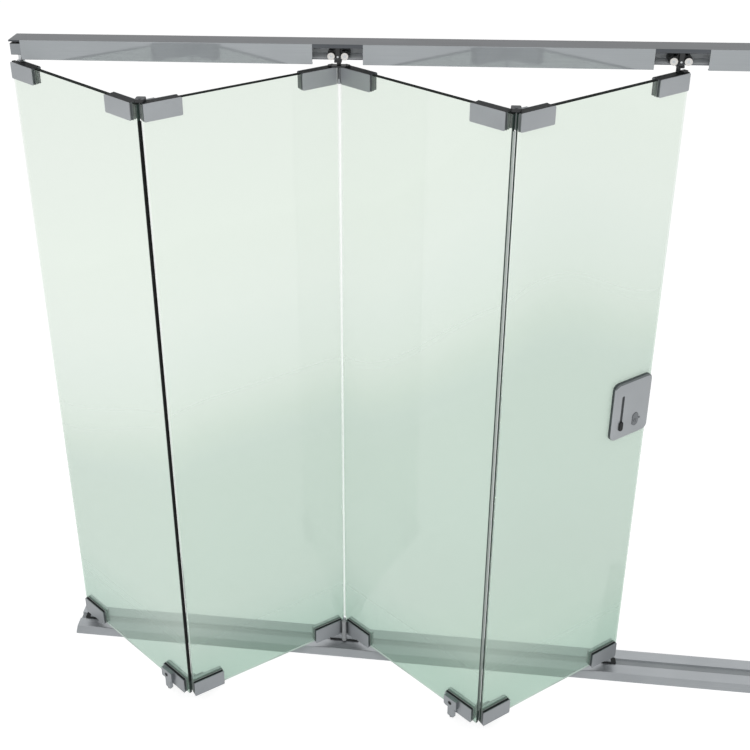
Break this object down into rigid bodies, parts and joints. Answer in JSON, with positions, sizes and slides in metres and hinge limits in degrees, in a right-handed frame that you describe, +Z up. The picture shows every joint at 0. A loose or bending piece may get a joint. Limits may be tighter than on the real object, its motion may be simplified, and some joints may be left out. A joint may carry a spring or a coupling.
{
  "type": "bifold glass patio door",
  "caption": "Frameless glass folding patio door: panels hinged in pairs with clamp fittings, hung from a head rail on carriages and guided by a low floor track",
  "frame": {"origin": "Middle of the floor track's flat underside, at floor level under the pivot line", "axes": "+X along the tracks towards the opening side, +Y towards the inside, away from the folded corners, +Z up"},
  "size_m": [2.85, 0.5086, 2.596],
  "materials": {
    "glass": "clear toughened glass with a green tint",
    "fitting": "satin anodised",
    "rail": "satin anodised",
    "cover": "smooth anodised",
    "track": "satin anodised",
    "black_metal": "black powder coat",
    "black_plastic": "moulded, matt",
    "white_nylon": "moulded nylon",
    "steel": "turned stainless steel",
    "dark_steel": "dark stainless steel",
    "seal": "matt rubber"
  },
  "bodies": {
    "root": {"bottom_fitting_four_end": "fitting", "bottom_fitting_four_start": "fitting", "bottom_fitting_one_end": "fitting", "bottom_fitting_one_start": "fitting", "bottom_fitting_three_end": "fitting", "bottom_fitting_three_start": "fitting", "bottom_fitting_two_end": "fitting", "bottom_fitting_two_start": "fitting", "carriage_end_body": "black_metal", "carriage_end_wheels": "white_nylon", "carriage_middle_body": "black_metal", "carriage_middle_wheels": "white_nylon", "edge_seals": "seal", "floor_guide_end": "black_plastic", "floor_guide_middle": "black_plastic", "floor_guide_start": "black_plastic", "floor_track": "track", "foot_bolt_cases": "fitting", "foot_bolts": "steel", "glass_panel_four": "glass", "glass_panel_one": "glass", "glass_panel_three": "glass", "glass_panel_two": "glass", "hanger_plate_end": "black_metal", "hanger_plate_middle": "black_metal", "head_pivot_block": "fitting", "head_pivot_pin": "steel", "head_rail": "rail", "hinge_caps": "dark_steel", "hinge_pins": "steel", "lock_case": "fitting", "lock_cylinder": "dark_steel", "lock_slider": "dark_steel", "outer_hinges": "dark_steel", "rail_cover_left": "cover", "rail_cover_middle": "cover", "rail_cover_right": "cover", "top_fitting_four_end": "fitting", "top_fitting_four_start": "fitting", "top_fitting_one_end": "fitting", "top_fitting_one_start": "fitting", "top_fitting_three_end": "fitting", "top_fitting_three_start": "fitting", "top_fitting_two_end": "fitting", "top_fitting_two_start": "fitting"}
  },
  "joints": []
}
